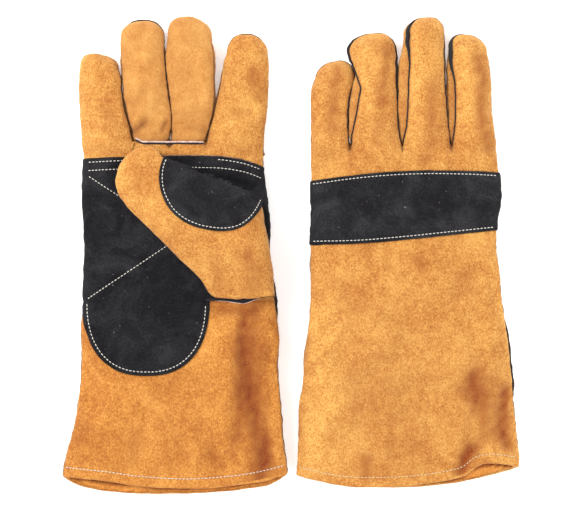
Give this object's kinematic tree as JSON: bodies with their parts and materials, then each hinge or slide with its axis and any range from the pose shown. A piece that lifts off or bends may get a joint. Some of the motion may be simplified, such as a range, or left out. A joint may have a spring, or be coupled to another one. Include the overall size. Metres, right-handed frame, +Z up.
{
  "type": "welding gloves",
  "caption": "Pair of long suede leather gauntlets for welding, lying flat, one palm up and one back up, with black palm, heel, thumb and knuckle patches.",
  "frame": {"origin": "centre of the pair's footprint, on the surface the gloves lie on", "axes": "+Y towards the fingertips, +X towards the left-hand glove, +Z up from the surface"},
  "size_m": [0.344, 0.356, 0.0484],
  "materials": {
    "tan_suede": "brushed golden-tan suede",
    "cuff_suede": "brushed russet-tan suede",
    "black_leather": "matt black split leather",
    "black_piping": "matt black leather piping",
    "cotton_lining": "unbleached cotton fleece"
  },
  "bodies": {
    "right_glove": {"right_back_panel": "tan_suede", "right_palm_panel": "tan_suede", "right_palm_patch": "black_leather", "right_knuckle_band": "black_leather", "right_cuff_palm": "cuff_suede", "right_heel_patch": "black_leather", "right_cuff_hem": "cuff_suede", "right_hand_lining": "cotton_lining", "right_cuff_lining": "cotton_lining", "right_wrist_welt": "black_piping", "right_side_welt": "black_piping"},
    "right_thumb": {"right_thumb_outer": "tan_suede", "right_thumb_inner": "tan_suede", "right_thumb_patch": "black_leather"},
    "right_little": {"right_little_back": "tan_suede", "right_little_front": "tan_suede", "right_little_inner_side": "cuff_suede"},
    "right_ring": {"right_ring_back": "tan_suede", "right_ring_front": "tan_suede", "right_ring_outer_side": "cuff_suede", "right_ring_inner_side": "cuff_suede"},
    "right_middle": {"right_middle_back": "tan_suede", "right_middle_front": "tan_suede", "right_middle_outer_side": "cuff_suede", "right_middle_inner_side": "cuff_suede"},
    "right_index": {"right_index_back": "tan_suede", "right_index_front": "tan_suede", "right_index_outer_side": "cuff_suede"},
    "left_glove": {"left_back_panel": "tan_suede", "left_palm_panel": "tan_suede", "left_palm_patch": "black_leather", "left_knuckle_band": "black_leather", "left_cuff_palm": "cuff_suede", "left_heel_patch": "black_leather", "left_cuff_hem": "cuff_suede", "left_hand_lining": "cotton_lining", "left_cuff_lining": "cotton_lining", "left_wrist_welt": "black_piping", "left_side_welt": "black_piping"},
    "left_thumb": {"left_thumb_outer": "tan_suede", "left_thumb_inner": "tan_suede", "left_thumb_patch": "black_leather"},
    "left_little": {"left_little_back": "tan_suede", "left_little_front": "tan_suede", "left_little_inner_side": "cuff_suede"},
    "left_ring": {"left_ring_back": "tan_suede", "left_ring_front": "tan_suede", "left_ring_outer_side": "cuff_suede", "left_ring_inner_side": "cuff_suede"},
    "left_middle": {"left_middle_back": "tan_suede", "left_middle_front": "tan_suede", "left_middle_outer_side": "cuff_suede", "left_middle_inner_side": "cuff_suede"},
    "left_index": {"left_index_back": "tan_suede", "left_index_front": "tan_suede", "left_index_outer_side": "cuff_suede"}
  },
  "joints": [
    {"name": "left_glove_lift", "type": "slide", "parent": "right_glove", "child": "left_glove", "axis": [0, 0, 1], "range_m": [0, 0.15]},
    {"name": "right_thumb_open", "type": "hinge", "parent": "right_glove", "child": "right_thumb", "pos_m": [-0.0205, 0.005, 0.0294], "axis": [0, 1, 0], "range_deg": [0, 90]},
    {"name": "right_little_flex", "type": "hinge", "parent": "right_glove", "child": "right_little", "pos_m": [-0.1378, 0.092, 0.0277], "axis": [1, 0, 0], "range_deg": [0, 80]},
    {"name": "right_ring_flex", "type": "hinge", "parent": "right_glove", "child": "right_ring", "pos_m": [-0.1036, 0.092, 0.0277], "axis": [1, 0, 0], "range_deg": [0, 80]},
    {"name": "right_middle_flex", "type": "hinge", "parent": "right_glove", "child": "right_middle", "pos_m": [-0.0763, 0.092, 0.0277], "axis": [1, 0, 0], "range_deg": [0, 80]},
    {"name": "right_index_flex", "type": "hinge", "parent": "right_glove", "child": "right_index", "pos_m": [-0.04, 0.092, 0.0277], "axis": [1, 0, 0], "range_deg": [0, 80]},
    {"name": "left_thumb_open", "type": "hinge", "parent": "left_glove", "child": "left_thumb", "pos_m": [0.156, 0.005, 0.019], "axis": [0, -1, 0], "range_deg": [0, 90]},
    {"name": "left_little_flex", "type": "hinge", "parent": "left_glove", "child": "left_little", "pos_m": [0.0302, 0.092, 0.0207], "axis": [-1, 0, 0], "range_deg": [0, 80]},
    {"name": "left_ring_flex", "type": "hinge", "parent": "left_glove", "child": "left_ring", "pos_m": [0.0649, 0.092, 0.0207], "axis": [-1, 0, 0], "range_deg": [0, 80]},
    {"name": "left_middle_flex", "type": "hinge", "parent": "left_glove", "child": "left_middle", "pos_m": [0.1011, 0.092, 0.0207], "axis": [-1, 0, 0], "range_deg": [0, 80]},
    {"name": "left_index_flex", "type": "hinge", "parent": "left_glove", "child": "left_index", "pos_m": [0.1354, 0.092, 0.0207], "axis": [-1, 0, 0], "range_deg": [0, 80]}
  ]
}
